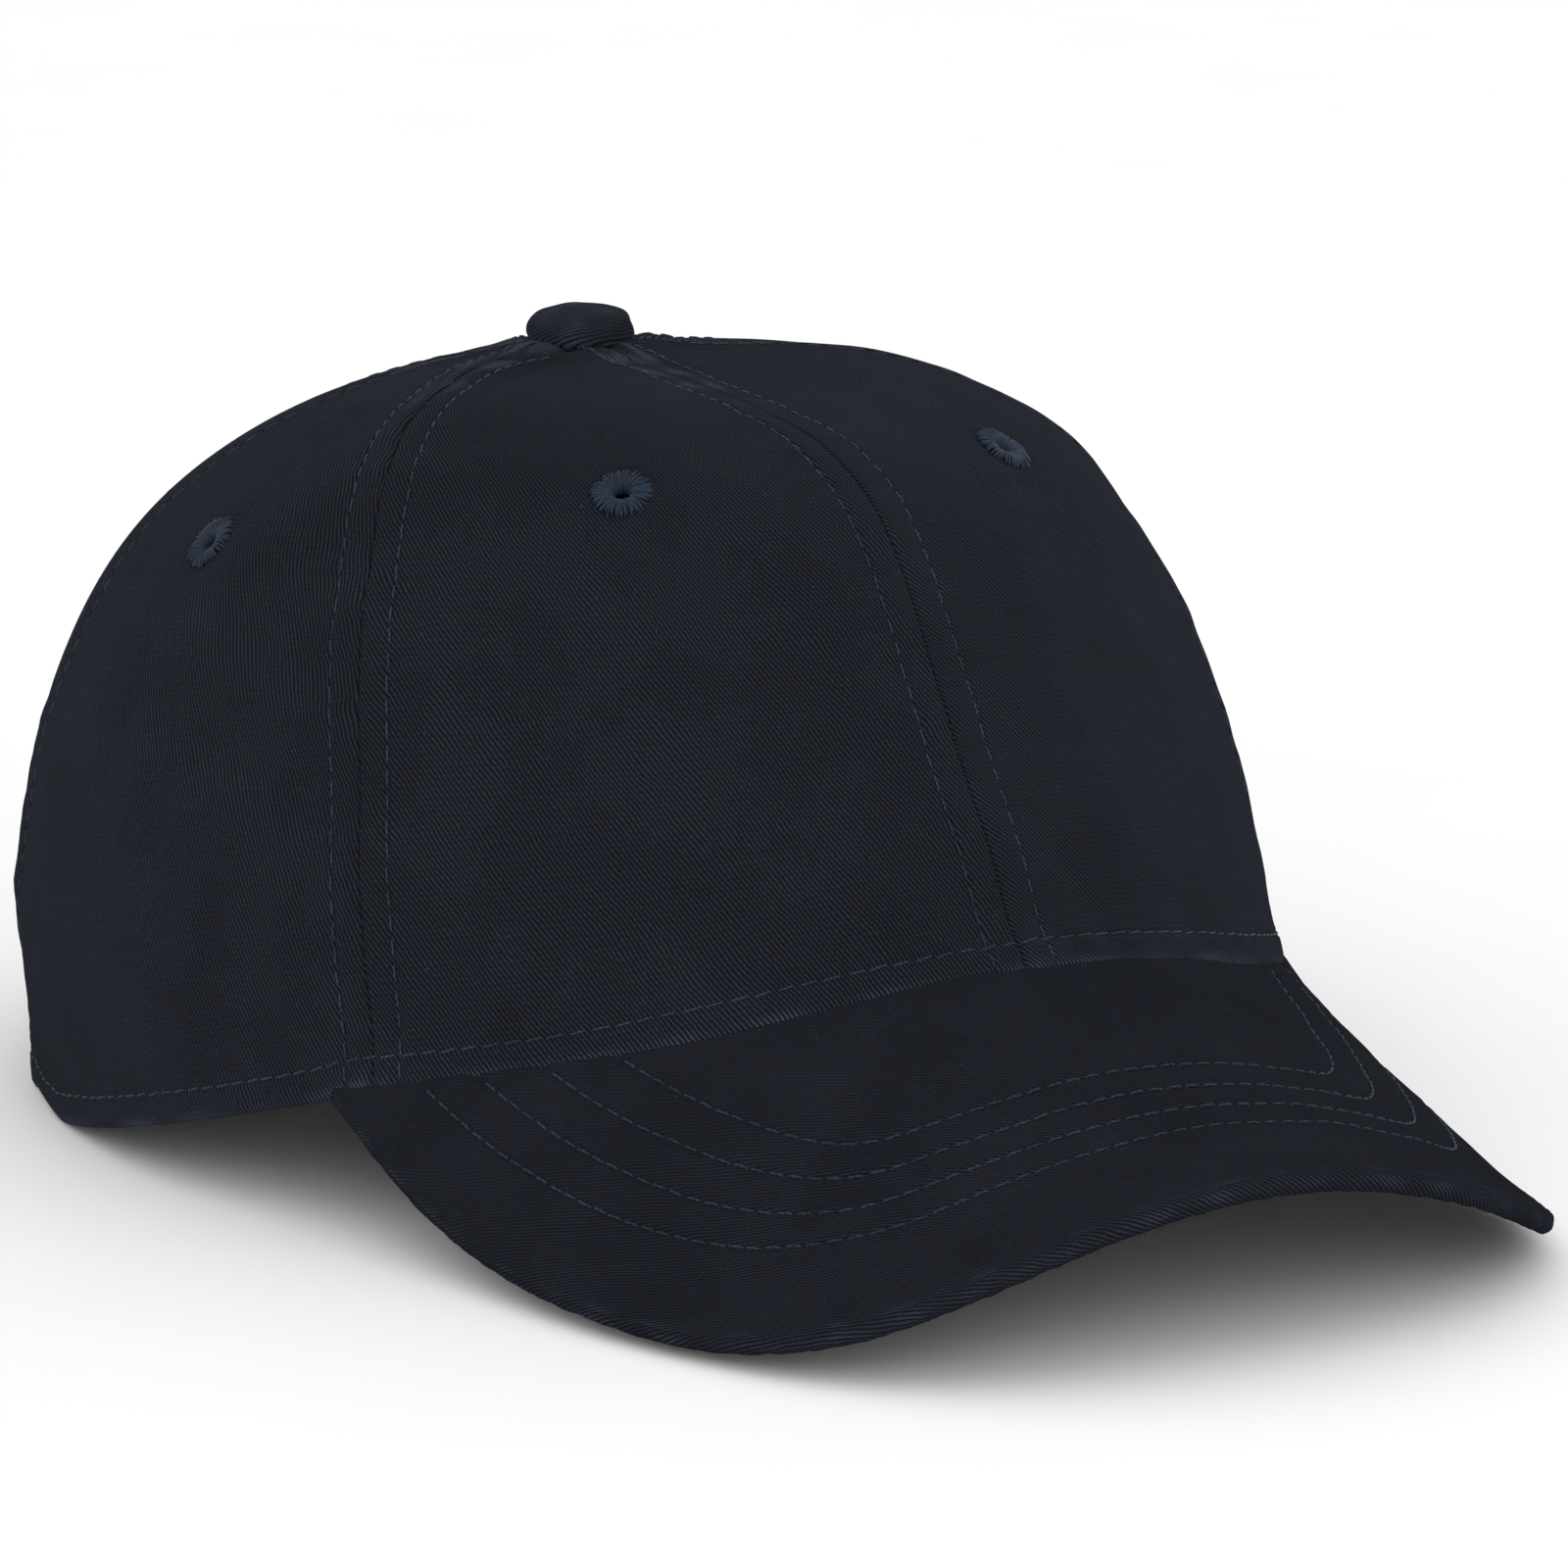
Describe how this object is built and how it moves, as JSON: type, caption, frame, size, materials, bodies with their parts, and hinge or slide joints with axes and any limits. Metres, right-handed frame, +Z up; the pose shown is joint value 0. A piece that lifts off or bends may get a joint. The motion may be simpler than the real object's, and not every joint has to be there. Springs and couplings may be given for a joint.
{
  "type": "baseball cap",
  "caption": "Low-profile baseball cap of dark twill panels with a curved peak, covered top button, stitched eyelets and a back strap with a clip buckle.",
  "frame": {"origin": "on the table, at the middle of the head opening's oval", "axes": "+Z up to the button, the peak points to -Y, the wearer's left is +X"},
  "size_m": [0.178, 0.2743, 0.1148],
  "materials": {
    "cloth": "washed cotton twill, dark navy, matt",
    "thread": "spun sewing and embroidery thread, a little lighter and bluer than the cloth",
    "tape": "plain-weave tape, dark navy",
    "sweatband": "soft cotton twill band",
    "board": "flexible peak board, hidden inside the cloth",
    "button_metal": "plain pressed metal, hidden",
    "buckle_metal": "antique brass, brushed and lightly worn"
  },
  "bodies": {
    "crown": {"panel_front_l": "cloth", "panel_front_r": "cloth", "panel_side_l": "cloth", "panel_side_r": "cloth", "panel_back_l": "cloth", "panel_back_r": "cloth", "eyelet_front_l": "thread", "eyelet_front_r": "thread", "eyelet_side_l": "thread", "eyelet_side_r": "thread", "eyelet_back_l": "thread", "eyelet_back_r": "thread", "tape_front": "tape", "tape_side_l": "tape", "tape_side_r": "tape", "tape_rear_l": "tape", "tape_rear_r": "tape", "tape_back": "tape", "button_cover": "cloth", "button_shell": "button_metal", "button_rivet": "button_metal", "peak_top_cover": "cloth", "peak_board": "board", "peak_under_cover": "cloth", "sweatband": "sweatband", "opening_binding": "tape", "peak_stitch_1": "thread", "peak_stitch_2": "thread", "peak_stitch_3": "thread", "peak_stitch_4": "thread", "hem_stitch": "thread", "seam_stitch_front": "thread", "seam_stitch_side_l": "thread", "seam_stitch_side_r": "thread", "seam_stitch_rear_l": "thread", "seam_stitch_rear_r": "thread", "seam_stitch_back": "thread", "buckle_tab": "cloth", "buckle_frame": "buckle_metal", "buckle_pin": "buckle_metal"},
    "strap": {"back_strap": "cloth"},
    "lever": {"buckle_lever": "buckle_metal"}
  },
  "joints": [
    {"name": "strap_adjust", "type": "hinge", "parent": "crown", "child": "strap", "pos_m": [0, 0.02954, 0], "axis": [0, 0, 1], "range_deg": [-12, 12]},
    {"name": "buckle_lever", "type": "hinge", "parent": "crown", "child": "lever", "pos_m": [-0.01574, 0.10387, 0.012], "axis": [0, 0, -1], "range_deg": [0, 100]}
  ]
}
